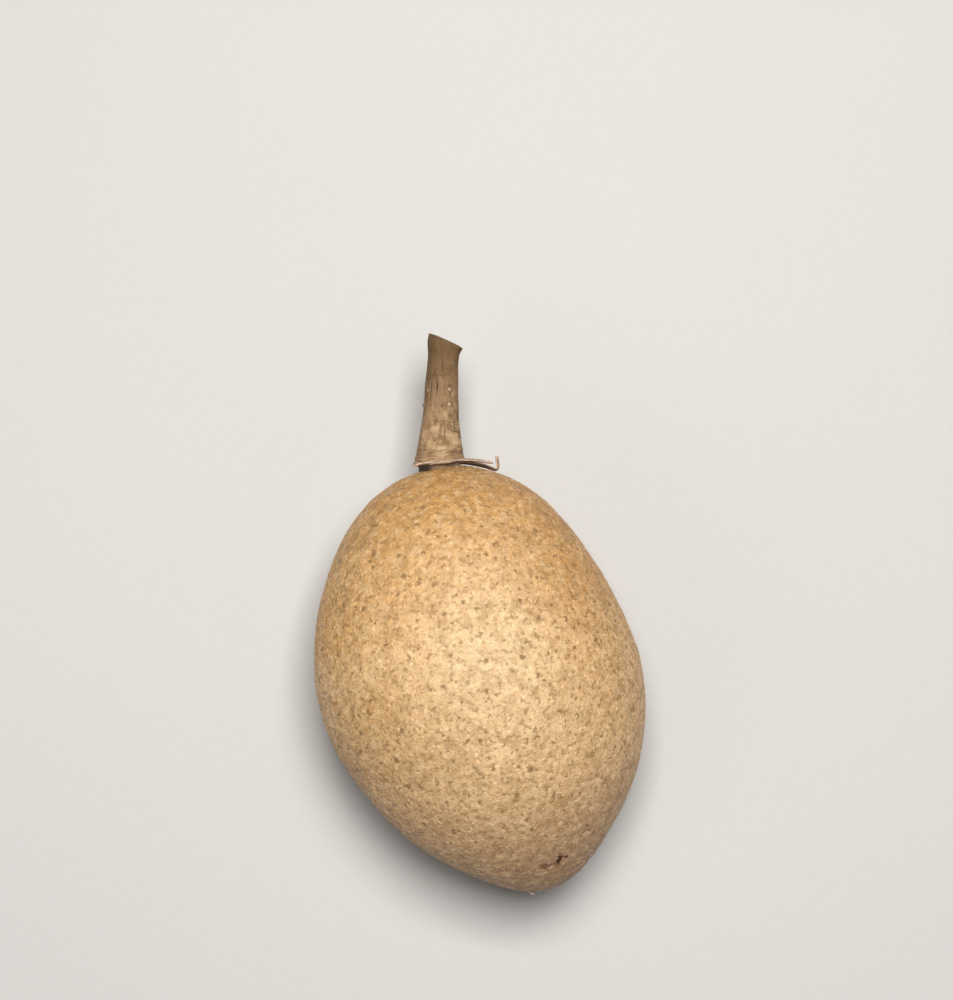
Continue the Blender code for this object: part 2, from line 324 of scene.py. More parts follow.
def unit(rows):
    """Each row scaled to length one."""
    return rows / np.linalg.norm(rows, axis=1, keepdims=True)


def noise_at(points, size, seed):
    """Smooth noise of about -1 to 1 whose features have a size, one value a point.

    The size is a length, or three lengths where the noise is drawn out along an axis.
    """
    places = points / np.array(size) + (13.7 * seed, 5.3 * seed, 29.1 * seed)
    return np.array([noise.noise(place) for place in places.tolist()])


def drift_at(points, size, seed):
    """A smooth random vector at each point."""
    return np.stack([noise_at(points, size, seed + step) for step in (0, 31, 67)], axis=1)


def spread_directions(count, draw, jitter=0.6):
    """Directions spread evenly over the sphere, each moved a little at random."""
    index = np.arange(count) + 0.5
    height = 1 - 2 * index / count
    turn = GOLDEN_ANGLE * index
    flat = np.sqrt(1 - height ** 2)
    rows = np.stack([flat * np.cos(turn), height, flat * np.sin(turn)], axis=1)
    spacing = math.sqrt(4 * math.pi / count)
    return unit(rows + draw.normal(0, jitter * spacing, rows.shape))


def full_turn(count):
    """Even angles once round."""
    return np.linspace(0, 2 * math.pi, count, endpoint=False)


def leaning_axis(tilt):
    """The direction that leans from +Y towards +X by a tilt, and the one across it."""
    axis = np.array([math.sin(tilt), math.cos(tilt), 0.0])
    return axis, np.array([axis[1], -axis[0], 0.0])


def ring_directions(across, angle):
    """Directions at angles round an axis, from the one across it towards +Z."""
    return np.cos(angle)[:, None] * across + np.sin(angle)[:, None] * UP


def ring_faces(rings, around, flip=False):
    """Quads between rings of points that follow one another along a tube."""
    corner = (np.arange(rings - 1)[:, None] * around + np.arange(around)[None, :]).ravel()
    side = corner - corner % around + (corner + 1) % around
    quads = [corner, side, side + around, corner + around]
    if flip:
        quads = [corner, corner + around, side + around, side]
    return np.stack(quads, axis=1)


def fan_faces(first, around, middle, flip=False):
    """Triangles from a ring, given its first point, to the point in its middle."""
    edges = [(first + step, first + (step + 1) % around) for step in range(around)]
    return [(high, low, middle) if flip else (low, high, middle) for low, high in edges]


def fruit_radius(directions):
    """Distance from the fruit's middle to its smooth form along each unit direction."""
    turn = np.arccos(np.clip(directions[:, 1], -1, 1))
    side = directions[:, 0] / np.maximum(np.sin(turn), 1e-6)
    radius = MEAN_RADIUS + CROWN_REACH * np.cos(turn) + LENGTHENING * np.cos(2 * turn)
    radius = radius + SHOULDERS * np.cos(3 * turn) + TAPER * np.cos(4 * turn)
    lean = LEAN_AT_SHOULDER * np.sin(2 * turn) + LEAN_AT_WAIST * np.sin(3 * turn)
    lean = lean + LEAN_AT_ENDS * np.sin(4 * turn)
    tip = np.array([math.sin(TIP_LEAN), -math.cos(TIP_LEAN), 0.0])
    away = np.arccos(np.clip(directions @ tip, -1, 1))
    point = TIP_HEIGHT * np.exp(-(away / TIP_SPREAD) ** 2)
    return radius + side * lean + point - FLATTENING * directions[:, 2] ** 2


FRUIT_MIDDLE = np.array([
    0.0, SPOT_SHIFT, fruit_radius(np.array([[0.0, 0.0, -1.0]]))[0] - SPOT_DEPTH,
])


def form_points(directions, lift=0.0):
    """Points of the smooth form, or over it by a lift for each."""
    radius = fruit_radius(directions) + lift
    return FRUIT_MIDDLE + directions * radius[:, None]


def form_point(turn):
    """The point of the smooth form at an angle from the crown towards +X."""
    direction, _ = leaning_axis(turn)
    return form_points(direction[None])[0]


def form_normals(directions):
    """Outward normals of the smooth form."""
    step = 1e-3
    helper = np.where(np.abs(directions[:, :1]) < 0.8, [[1.0, 0.0, 0.0]], [[0.0, 0.0, 1.0]])
    first = unit(np.cross(directions, helper))
    second = np.cross(directions, first)
    here = form_points(directions)
    along_first = form_points(unit(directions + step * first)) - here
    along_second = form_points(unit(directions + step * second)) - here
    normals = unit(np.cross(along_first, along_second))
    outward = np.sign(np.sum(normals * directions, axis=1, keepdims=True))
    return normals * outward


class Specks:
    """The brown specks of bare skin between the scurf, as places, radii and strengths."""

    def __init__(self):
        draw = np.random.default_rng(SEED)
        counts, radii, strengths, powers = zip(*SPECK_KINDS)
        rows = [spread_directions(count, draw) for count in counts]
        sizes = [draw.uniform(*pair, count) for pair, count in zip(radii, counts)]
        depths = [
            draw.uniform(*pair, count) ** power
            for pair, count, power in zip(strengths, counts, powers)
        ]
        self.radius = np.concatenate(sizes) * MM
        self.strength = np.concatenate(depths)
        places = form_points(np.concatenate(rows))
        self.tree = kdtree.KDTree(len(places))
        for index, place in enumerate(places.tolist()):
            self.tree.insert(place, index)
        self.tree.balance()

    def at(self, points):
        """How far each point is inside a speck, from 0 to 1."""
        bent = points + SPECK_RAGGED * drift_at(points, RAGGED_SIZE, 3)
        values = np.zeros(len(points))
        for row, point in enumerate(bent.tolist()):
            for _, index, distance in self.tree.find_n(point, 2):
                share = distance / self.radius[index]
                if share < SPECK_EDGE[1]:
                    inside = self.strength[index] * (1 - smooth_step(share, *SPECK_EDGE))
                    values[row] = max(values[row], inside)
        return values


SPECKS = Specks()


def picture_places(points):
    """Where the camera sees points: right and up in the plane of the fruit's middle."""
    offset = points - FRUIT_MIDDLE
    right = math.cos(PICTURE_ROLL) * offset[:, 0] - math.sin(PICTURE_ROLL) * offset[:, 1]
    up = math.sin(PICTURE_ROLL) * offset[:, 0] + math.cos(PICTURE_ROLL) * offset[:, 1]
    nearer = CAMERA_DISTANCE / (CAMERA_DISTANCE - offset[:, 2])
    right = PICTURE_RIGHT + (right - PICTURE_RIGHT) * nearer
    up = PICTURE_UP + (up - PICTURE_UP) * nearer
    return np.stack([right, up], axis=1)


def nick_share(points):
    """1 in the middle of the nick's strokes, 0 outside them, with ragged edges."""
    places = picture_places(points + NICK_RAGGED * drift_at(points, RAGGED_SIZE, 8))
    share = np.zeros(len(points))
    for first, last, half_width, strength in NICK_STROKES:
        start, end = np.array(first) * MM, np.array(last) * MM
        along = np.clip((places - start) @ (end - start) / np.sum((end - start) ** 2), 0, 1)
        nearest = start + along[:, None] * (end - start)
        reach = np.linalg.norm(places - nearest, axis=1) / (half_width * MM)
        share = np.maximum(share, strength * (1 - smooth_step(reach, *NICK_EDGE)))
    return share * (points[:, 2] > FRUIT_MIDDLE[2])


def skin_relief(directions, specks):
    """Height of the real skin over its smooth form: swellings, pebbles, grain and pits."""
    places = form_points(directions)
    relief = -SKIN_SETTLE
    for height, size, seed in SKIN_RELIEF:
        relief = relief + height * noise_at(places, size, seed)
    return relief - SPECK_DEPTH * specks - NICK_DEPTH * nick_share(places)


def add_object(name, data):
    """An object of the scene that shows some data."""
    thing = bpy.data.objects.new(name, data)
    bpy.context.scene.collection.objects.link(thing)
    return thing


def add_mesh(name, points, faces, material, smooth=True):
    """A mesh in one material."""
    mesh = bpy.data.meshes.new(name)
    mesh.from_pydata(np.asarray(points).tolist(), [], [tuple(face) for face in faces])
    if smooth:
        mesh.shade_smooth()
    mesh.materials.append(material)
    return add_object(name, mesh)


def make_piece(name, points, faces, material, slot_name, *nodes, smooth=True, values=None):
    """A mesh piece that rides on the fruit's body and stands for some nodes."""
    piece = add_mesh(name, points, faces, material, smooth)
    for key, numbers in (values or {}).items():
        layer = piece.data.attributes.new(key, "FLOAT", "POINT")
        layer.data.foreach_set("value", np.asarray(numbers, dtype=np.float32))
    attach(piece, BODY)
    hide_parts(*nodes)


class Look:
    """A Principled material, with short calls that add texture nodes to it."""

    def __init__(self, name):
        self.material = bpy.data.materials.new(name)
        self.material.use_nodes = True
        self.tree = self.material.node_tree
        self.shader = self.tree.nodes["Principled BSDF"]
        self.place = self.tree.nodes.new("ShaderNodeTexCoord").outputs["Object"]

    def set(self, **numbers):
        """Plain values on the shader's own sockets."""
        for name, value in numbers.items():
            self.shader.inputs[name.replace("_", " ")].default_value = value

    def sheen(self, weight, roughness, tint):
        """The soft shine of scurf or down, the same all over."""
        self.set(Sheen_Weight=weight, Sheen_Roughness=roughness, Sheen_Tint=(*tint, 1.0))

    def link(self, source, target):
        """Leads one socket to another."""
        self.tree.links.new(source, target)

    def feed(self, socket, value):
        """A number, a colour or another socket's value for a socket."""
        if isinstance(value, (int, float)):
            socket.default_value = value
        elif isinstance(value, tuple):
            socket.default_value = (*value, 1.0)
        else:
            self.link(value, socket)

    def attribute(self, name):
        """A number stored at each point of the mesh."""
        node = self.tree.nodes.new("ShaderNodeAttribute")
        node.attribute_name = name
        return node.outputs["Fac"]

    def noise(self, size, detail, roughness=0.55):
        """Noise from 0 to 1 with features of a size in metres."""
        node = self.tree.nodes.new("ShaderNodeTexNoise")
        node.inputs["Scale"].default_value = 1 / size
        node.inputs["Detail"].default_value = detail
        node.inputs["Roughness"].default_value = roughness
        self.link(self.place, node.inputs["Vector"])
        return node.outputs["Fac"]

    def spread(self, value, low, high, start=0.0, end=1.0):
        """A value's range from low to high, spread over start to end."""
        node = self.tree.nodes.new("ShaderNodeMapRange")
        node.inputs["From Min"].default_value = low
        node.inputs["From Max"].default_value = high
        node.inputs["To Min"].default_value = start
        node.inputs["To Max"].default_value = end
        self.link(value, node.inputs["Value"])
        return node.outputs["Result"]

    def patches(self, size, detail, low, high, start=0.0, end=1.0, roughness=0.55):
        """Noise of a size, with its range from low to high spread over start to end."""
        return self.spread(self.noise(size, detail, roughness), low, high, start, end)

    def matt(self, low, high, size):
        """A roughness that varies from low to high in patches of a size."""
        return self.patches(size, 3.0, 0.3, 0.7, low, high)

    def axis(self, name, low, high):
        """0 to 1 along one axis of the frame."""
        split = self.tree.nodes.new("ShaderNodeSeparateXYZ")
        self.link(self.place, split.inputs["Vector"])
        return self.spread(split.outputs[name], low, high)

    def times(self, first, second):
        """The product of two values, either of them a number."""
        return self.sum_or_product("MULTIPLY", first, second)

    def plus(self, first, second):
        """The sum of two values, either of them a number."""
        return self.sum_or_product("ADD", first, second)

    def sum_or_product(self, operation, first, second):
        """One step of arithmetic."""
        node = self.tree.nodes.new("ShaderNodeMath")
        node.operation = operation
        self.feed(node.inputs[0], first)
        self.feed(node.inputs[1], second)
        return node.outputs["Value"]

    def ramp(self, value, *stops):
        """Colours along a value: each stop is a place and a colour."""
        node = self.tree.nodes.new("ShaderNodeValToRGB")
        elements = node.color_ramp.elements
        while len(elements) < len(stops):
            elements.new(1.0)
        for element, (place, colour) in zip(elements, stops):
            element.position = place
            element.color = (*colour, 1.0)
        self.link(value, node.inputs["Fac"])
        return node.outputs["Color"]

    def mix(self, share, first, second):
        """Two colours mixed by a share; each is a socket or three numbers."""
        node = self.tree.nodes.new("ShaderNodeMix")
        node.data_type = "RGBA"
        factor, first_socket, second_socket = node.inputs[0], node.inputs[6], node.inputs[7]
        self.feed(factor, share)
        self.feed(first_socket, first)
        self.feed(second_socket, second)
        return node.outputs[2]

    def bump(self, distance, size, detail, roughness):
        """Fine relief on top of the mesh's own."""
        node = self.tree.nodes.new("ShaderNodeBump")
        node.inputs["Distance"].default_value = distance
        node.inputs["Strength"].default_value = BUMP_STRENGTH
        self.link(self.noise(size, detail, roughness), node.inputs["Height"])
        self.link(node.outputs["Normal"], self.shader.inputs["Normal"])

    def finish(self, colour, roughness):
        """The colour and the roughness, each from a socket."""
        self.link(colour, self.shader.inputs["Base Color"])
        self.link(roughness, self.shader.inputs["Roughness"])
        return self.material


def flank_tone_and_shade(look, broad):
    """Flanks warmer and mottled on the left, and darker on both sides with painted shade, stronger
    towards the crown.
    """
    upward = look.axis("Y", -20 * MM, 12 * MM)
    mottled = look.patches(12 * MM, 2.0, 0.37, 0.59, 0.60, 1.00)
    left = look.times(mottled, look.spread(upward, 0.0, 1.0, 0.42, 0.85))
    left = look.times(look.axis("X", -1 * MM, -22 * MM), left)
    right = look.spread(upward, 0.0, 1.0, 0.05, 0.75)
    right = look.times(look.axis("X", 8 * MM, 20 * MM), right)
    left_shaded_tan = look.mix(upward, LOWER_LEFT_SHADED_TAN, UPPER_LEFT_SHADED_TAN)
    return look.mix(right, look.mix(left, broad, left_shaded_tan), RIGHT_SHADED_TAN)


def ground_colour(look):
    """The skin's broad colours, gold at the crown to brown at the tip, and its mottling; the
    darker tip and crown are partly painted shade, and the pale waist is partly a painted
    highlight.
    """
    along = look.axis("Y", -38 * MM, 41 * MM)
    # Partly painted: the darker tip and crown carry painted shade, and the pale waist a painted
    # highlight
    broad = look.ramp(
        along, (0.00, TIP_SHADED_BROWN), (0.26, LOWER_TAN), (0.58, WAIST_HIGHLIGHT_CREAM), (0.97, CROWN_SHADED_GOLD)
    )
    # Painted shade darkens both flanks, over a warmer mottle on the left
    warm_and_shaded = flank_tone_and_shade(look, broad)
    clouded = look.mix(look.patches(2.6 * MM, 2.0, 0.38, 0.66, 0.0, 0.45), warm_and_shaded, SPOT_BROWN)
    fleck = look.patches(1.6 * MM, 2.0, 0.45, 0.68, 0.0, 0.38)
    flecked = look.mix(fleck, clouded, FLECK_CREAM)
    spot = look.patches(1.0 * MM, 3.0, 0.53, 0.66, 0.0, 0.60, roughness=0.5)
    return look.mix(spot, flecked, SPOT_BROWN)


def skin_material():
    """Bare skin: ground colours, darker in the specks, with fine grain."""
    look = Look("fruit_skin")
    ground = ground_colour(look)
    grain = look.patches(0.45 * MM, 4.0, 0.35, 0.70, 0.0, 0.40, roughness=0.7)
    darker = look.mix(grain, ground, BARE_BROWN)
    ragged = look.times(look.noise(0.5 * MM, 3.0), 0.7)
    speck = look.spread(look.plus(look.attribute("speck"), ragged), 0.48, 0.95, 0.0, 0.75)
    specked = look.mix(speck, darker, BARE_BROWN)
    torn = look.spread(look.plus(look.attribute("scar"), ragged), 0.45, 0.95)
    scarred = look.mix(torn, specked, SCAR_BROWN)
    roughness = look.plus(look.matt(0.50, 0.72, 1.2 * MM), look.times(torn, 0.25))
    look.bump(0.12 * MM, 0.30 * MM, 5.0, 0.7)
    look.sheen(0.06, 0.35, SKIN_SHEEN)
    look.set(Specular_IOR_Level=0.38)
    return look.finish(scarred, roughness)


def scurf_material():
    """Scurf grains: from brown to pale cream, each with its own tone."""
    look = Look("fruit_scurf")
    ground = ground_colour(look)
    tone = look.attribute("tone")
    dark = look.mix(look.spread(tone, 0.50, 0.0, 0.0, 0.34), ground, BARE_BROWN)
    pale = look.mix(look.spread(tone, 0.50, 1.0, 0.0, 0.16), dark, FLECK_CREAM)
    look.sheen(0.15, 0.4, SCURF_SHEEN)
    look.set(Specular_IOR_Level=0.38)
    return look.finish(pale, look.matt(0.52, 0.75, 0.5 * MM))


def sphere_grid(cells):
    """Even directions over a sphere from the six sides of a cube, and the quads between."""
    angles = np.tan(np.linspace(-math.pi / 4, math.pi / 4, cells + 1))
    across, along = np.meshgrid(angles, angles, indexing="ij")
    one = np.ones_like(across)
    sides = (
        (one, across, along), (-one, along, across), (along, one, across),
        (across, -one, along), (across, along, one), (along, across, -one),
    )
    row = cells + 1
    corner = (np.arange(cells)[:, None] * row + np.arange(cells)[None, :]).ravel()
    quads = np.stack([corner, corner + row, corner + row + 1, corner + 1], axis=1)
    rows, faces = [], []
    for index, side in enumerate(sides):
        rows.append(np.stack([part.ravel() for part in side], axis=1))
        faces.append(quads + index * row * row)
    directions = unit(np.concatenate(rows))
    keys = np.round(directions, 6) + 0.0
    _, first, where = np.unique(keys, axis=0, return_index=True, return_inverse=True)
    return directions[first], where.ravel()[np.concatenate(faces)]


def build_skin(material):
    """The fruit's whole skin, flat where it rests."""
    directions, faces = sphere_grid(SKIN_GRID)
    places = form_points(directions)
    specks = SPECKS.at(places)
    points = form_points(directions, skin_relief(directions, specks))
    points[:, 2] = np.maximum(points[:, 2], 0.0)
    values = {"speck": specks, "scar": nick_share(places)}
    make_piece("fruit_skin", points, faces, material, "fruit_skin", "fruit", values=values)


def scurf_grows(places, specks, draw):
    """Where flakes grow: off the floor, the collar and the nick, and few in the specks."""
    foot, _, _ = crown_frame()
    grows = places[:, 2] > SCURF_FLOOR
    grows &= np.linalg.norm(places - foot, axis=1) > DISC_RADIUS - SCURF_UNDER_COLLAR
    grows &= nick_share(places) < SCURF_AT_NICK
    return grows & (draw.uniform(0, 1, len(places)) > SCURF_WORN * specks)


def flake_points(points, normals, size, rise, draw):
    """Each flake's corners, a little sunk in the skin, then its top and its root."""
    count = len(points)
    first = unit(np.cross(normals, draw.normal(0, 1, normals.shape)))
    second = np.cross(normals, first)
    radius = draw.uniform(*size, count)
    height = draw.uniform(*rise, count)
    stretch = draw.uniform(*FLAKE_STRETCH, count)
    corners = []
    for step in range(FLAKE_SIDES):
        turn = draw.uniform(-FLAKE_TURN, FLAKE_TURN, count)
        angle = 2 * math.pi * step / FLAKE_SIDES + turn
        reach = radius * draw.uniform(*FLAKE_UNEVEN, count)
        along = first * (reach * stretch * np.cos(angle))[:, None]
        across = second * (reach / stretch * np.sin(angle))[:, None]
        edge = normals * (height * draw.uniform(*FLAKE_RIM, count))[:, None]
        corners.append(points + along + across + edge)
    lean = first * (radius * draw.uniform(-FLAKE_LEAN, FLAKE_LEAN, count))[:, None]
    corners.append(points + lean + normals * height[:, None])
    corners.append(points - normals * (FLAKE_ROOT * radius)[:, None])
    return np.stack(corners, axis=1).reshape(-1, 3)


def flake_faces(count):
    """Triangles from each flake's corners up to its top and down to its root."""
    top = fan_faces(0, FLAKE_SIDES, FLAKE_SIDES)
    under = fan_faces(0, FLAKE_SIDES, FLAKE_SIDES + 1, flip=True)
    starts = (np.arange(count) * (FLAKE_SIDES + 2))[:, None, None]
    return (np.array(top + under)[None] + starts).reshape(-1, 3)


def build_scurf(name, count, size, rise, seed, material):
    """One layer of scurf: low flakes with sunk rims, fewer where the skin is bare."""
    draw = np.random.default_rng(SEED + seed)
    directions = spread_directions(count, draw)
    places = form_points(directions)
    specks = SPECKS.at(places)
    keep = scurf_grows(places, specks, draw)
    directions, specks = directions[keep], specks[keep]
    roots = form_points(directions, skin_relief(directions, specks))
    points = flake_points(roots, form_normals(directions), size, rise, draw)
    tone = np.clip(draw.beta(*FLAKE_TONES, len(roots)) - FLAKE_DIM * specks, 0, 1)
    values = {"tone": np.repeat(tone, FLAKE_SIDES + 2)}
    faces = flake_faces(len(roots))
    make_piece(name, points, faces, material, "fruit_skin", "fruit", smooth=False, values=values)


def style_material():
    """The dried style: pale grey brown, made paler with painted light that offsets the shade under
    the tip.
    """
    look = Look("style_dry")
    # Painted light: both colours paler, to offset the shade under the tip
    colour = look.mix(look.patches(0.25 * MM, 3.0, 0.35, 0.65), STYLE_LIT_BROWN, STYLE_LIT_CREAM)
    return look.finish(colour, look.matt(0.65, 0.85, 0.4 * MM))


def build_style(material):
    """The dried stub of the flower's style, on the very tip."""
    turn = math.pi - STYLE_LEAN
    tip = form_point(turn)
    axis, across = leaning_axis(turn)
    flat = ring_directions(across, full_turn(STYLE_ROUND))
    rings = [tip + axis * height * MM + flat * reach * MM for reach, height in STYLE_PROFILE]
    points = np.concatenate(rings)
    points = points + STYLE_WAVE * drift_at(points, STYLE_WAVE_SIZE, 81)
    ends = [tip + axis * height * MM for height in STYLE_ENDS]
    count = len(points)
    faces = ring_faces(len(STYLE_PROFILE), STYLE_ROUND).tolist()
    faces += fan_faces(0, STYLE_ROUND, count, flip=True)
    faces += fan_faces(count - STYLE_ROUND, STYLE_ROUND, count + 1)
    points = np.concatenate([points, ends])
    make_piece("style_stub", points, faces, material, "fruit_skin", "fruit")


def crown_frame():
    """The calyx's foot on the skin, its axis, and the direction across it."""
    return form_point(CROWN_OFFSET), *leaning_axis(CALYX_TILT)


def over_crown(distance, angle, sideways, height):
    """Points over the crown: out from the calyx's axis, beside that, and above the skin."""
    foot, _, across = crown_frame()
    out = ring_directions(across, angle)
    beside = np.cos(angle)[:, None] * UP - np.sin(angle)[:, None] * across
    rough = foot + out * distance[:, None] + beside * sideways[:, None]
    return form_points(unit(rough - FRUIT_MIDDLE), height)


def calyx_material():
    """Dried sepal: brown, with greyish down and paler margins, and painted shade low on the
    collar.
    """
    look = Look("calyx_dry")
    brown = look.mix(look.patches(1.6 * MM, 4.0, 0.35, 0.68), SEPAL_BROWN, SEPAL_TAN)
    ridge = look.spread(look.attribute("ridge"), -1.0, 1.0)
    veined = look.mix(look.times(ridge, 0.35), brown, VEIN_TAN)
    worn = look.patches(0.9 * MM, 3.0, 0.35, 0.62, 0.15, 0.85)
    edge = look.times(look.attribute("margin"), worn)
    edged = look.mix(edge, veined, MARGIN_PINK)
    fine = look.patches(0.18 * MM, 4.0, 0.35, 0.7, 0.0, 0.35, roughness=0.7)
    downy = look.mix(fine, edged, SEPAL_GRAIN)
    # Painted shade in the recess where the collar meets the skin, strongest on its left side
    recess_shaded = look.mix(look.attribute("recess_shade"), downy, RECESS_SHADE_BROWN)
    look.bump(0.06 * MM, 0.15 * MM, 4.0, 0.65)
    look.sheen(0.15, 0.4, SEPAL_SHEEN)
    return look.finish(recess_shaded, look.matt(0.70, 0.90, 0.8 * MM))


def sepal_spine(reach, rise, curl):
    """Distance from the axis, height and slope along one sepal, from root to tip."""
    step_length = (reach - SEPAL_ROOT) / SEPAL_STEPS
    distance, height = SEPAL_ROOT, 0.0
    spine = []
    for step in range(SEPAL_STEPS + 1):
        slope = rise + curl * smooth_step(step / SEPAL_STEPS, *SEPAL_BEND)
        spine.append((distance, height, slope))
        distance += step_length * math.cos(slope)
        height += step_length * math.sin(slope)
    return np.array(spine)


def sheet_faces(steps, strips):
    """Quads over two copies of a grid of points, and round the rim between them."""
    row = strips + 1
    count = (steps + 1) * row
    corner = (np.arange(steps)[:, None] * row + np.arange(strips)[None, :]).ravel()
    quads = np.stack([corner, corner + 1, corner + row + 1, corner + row], axis=1)
    rim = list(range(row))
    rim += [(step + 1) * row + strips for step in range(steps)]
    rim += [steps * row + strip for strip in range(strips - 1, -1, -1)]
    rim += [step * row for step in range(steps - 1, 0, -1)]
    walls = [(a, b, b + count, a + count) for a, b in zip(rim, rim[1:] + rim[:1])]
    return quads[:, ::-1].tolist() + (quads + count).tolist() + walls


def build_sepal(name, row, seed, material):
    """One dried sepal: a thin veined blade with curled, uneven margins."""
    degrees, lengths = row
    angle, rise, curl = (math.radians(value) for value in degrees)
    reach, half_width, root_height = (value * MM for value in lengths)
    share = np.linspace(0, 1, SEPAL_STEPS + 1)
    width = half_width * np.maximum(SEPAL_TIP, np.sin(math.pi * (0.3 + 0.7 * share)) ** 0.85)
    grid = np.meshgrid(share, np.linspace(-1, 1, SEPAL_STRIPS + 1), indexing="ij")
    along, lateral = (side.ravel() for side in grid)
    flat = np.stack([along * reach, lateral * half_width, 0 * along], axis=1)
    margin_line = flat * [1, 0, 0] + np.sign(flat) * [0, 1, 0]
    ragged = 1 + SEPAL_RAGGED * noise_at(margin_line, 1.3 * MM, seed)
    sideways = lateral * np.repeat(width, SEPAL_STRIPS + 1) * ragged
    veins = np.cos(lateral * VEIN_WAVES * math.pi) * (1 - along ** 2)
    wrinkle = noise_at(flat, (2.6 * MM, 0.8 * MM, 1.0), seed + 1)
    cupping = SEPAL_CUPPING * lateral ** 2 * (0.4 + along)
    wave = SEPAL_WAVE * lateral ** 2 * noise_at(flat, (2.2 * MM, 9 * MM, 1.0), seed + 2)
    offset = cupping + wave + SEPAL_WRINKLE * wrinkle
    edge = np.maximum(np.abs(lateral), along ** 4)
    half = SEPAL_THICKNESS / 2 * (1 - SEPAL_THINNING * smooth_step(edge, 0.6, 1.0))
    twist = SEPAL_TWIST * curl * smooth_step(along, SEPAL_BEND[0], 1.0)
    spine = sepal_spine(reach, rise, curl)
    distance, height, slope = (np.repeat(column, SEPAL_STRIPS + 1) for column in spine.T)
    sheets = []
    for side in (-1, 1):
        lift = offset + side * (half + VEIN_HEIGHT * veins)
        turned = lift * np.cos(twist) + sideways * np.sin(twist)
        sheets.append(over_crown(
            distance - turned * np.sin(slope),
            np.full(len(distance), angle),
            sideways * np.cos(twist) - lift * np.sin(twist),
            root_height + height + turned * np.cos(slope),
        ))
    faces = sheet_faces(SEPAL_STEPS, SEPAL_STRIPS)
    values = {
        "ridge": np.tile(veins + 0.5 * wrinkle, 2),
        "margin": np.tile(smooth_step(edge, 0.78, 1.0), 2),
    }
    make_piece(name, np.concatenate(sheets), faces, material, "calyx_dry", "calyx", values=values)


def build_collar(material):
    """The corky collar under the stalk that the sepals grow from, with painted shade low on it."""
    foot, axis, across = crown_frame()
    angle = full_turn(COLLAR_ROUND)
    out = ring_directions(across, angle)
    none = np.zeros(COLLAR_ROUND)
    rings = []
    for reach, level in COLLAR_PROFILE:
        distance = np.full(COLLAR_ROUND, reach * DISC_RADIUS)
        low = over_crown(distance, angle, none, none - COLLAR_SUNK)
        high = foot + axis * (GAP + DISC_HEIGHT + COLLAR_PROUD) + out * distance[:, None]
        rings.append(low + (high - low) * level)
    points = np.concatenate(rings)
    outward = unit(points - (foot + axis * 0.5 * MM))
    bumps = noise_at(points, 0.9 * MM, 41) + 0.5 * noise_at(points, 0.4 * MM, 42)
    points = points + outward * (COLLAR_LUMPS * bumps)[:, None]
    faces = ring_faces(len(COLLAR_PROFILE) + 1, COLLAR_ROUND) % len(points)
    # Painted shade: dark at the collar's lowest levels, where it meets the skin, strongest on its
    # left side
    recess_shade = np.array([1 - smooth_step(level, *COLLAR_SHADE_LEVELS) for _, level in COLLAR_PROFILE])
    shaded_side = smooth_step(-np.cos(angle), 0.20, 0.55)
    values = {"ridge": bumps, "recess_shade": np.outer(recess_shade, 0.45 + 0.55 * shaded_side).ravel()}
    make_piece("calyx_disc", points, faces, material, "calyx_dry", "calyx", values=values)


def stalk_tilt(along):
    """The stalk's lean from +Y towards +X, a distance from its foot."""
    bend = smooth_step(along, STALK_BEND_START, STALK_LENGTH)
    return STALK_TILT + (STALK_END_TILT - STALK_TILT) * bend


def stalk_line():
    """Points, ring tilts and distances along the stalk, from inside the collar."""
    foot, axis, _ = crown_frame()
    lead, _ = leaning_axis(stalk_tilt(0.0))
    point = foot + axis * (2 * GAP + DISC_HEIGHT) - lead * STALK_SUNK
    step_length = (STALK_LENGTH + STALK_SUNK) / STALK_STEPS
    line = []
    for index in range(STALK_STEPS + 1):
        along = step_length * index - STALK_SUNK
        settled = smooth_step(along, 0.0, STALK_SETTLE)
        tilt = CALYX_TILT + (stalk_tilt(along) - CALYX_TILT) * settled
        slant = CUT_SLANT * smooth_step(along, STALK_LENGTH - CUT_REACH, STALK_LENGTH)
        line.append((point, tilt + slant, along))
        heading, _ = leaning_axis(stalk_tilt(along))
        point = point + heading * step_length
    return line


def stalk_radius(along, angle):
    """The stalk's smooth radius a distance from the foot, at angles round it."""
    radius = STALK_RADIUS + STALK_FLARE * math.exp(-max(along, 0.0) / FLARE_LENGTH)
    radius += KNUCKLE * smooth_step(along, STALK_LENGTH - KNUCKLE_LENGTH, STALK_LENGTH)
    ripple = np.ones(len(angle))
    for count, depth, phase in BARK_LOBES:
        ripple += depth * np.sin(count * angle + phase + BARK_TWIST * along * count)
    return radius * ripple


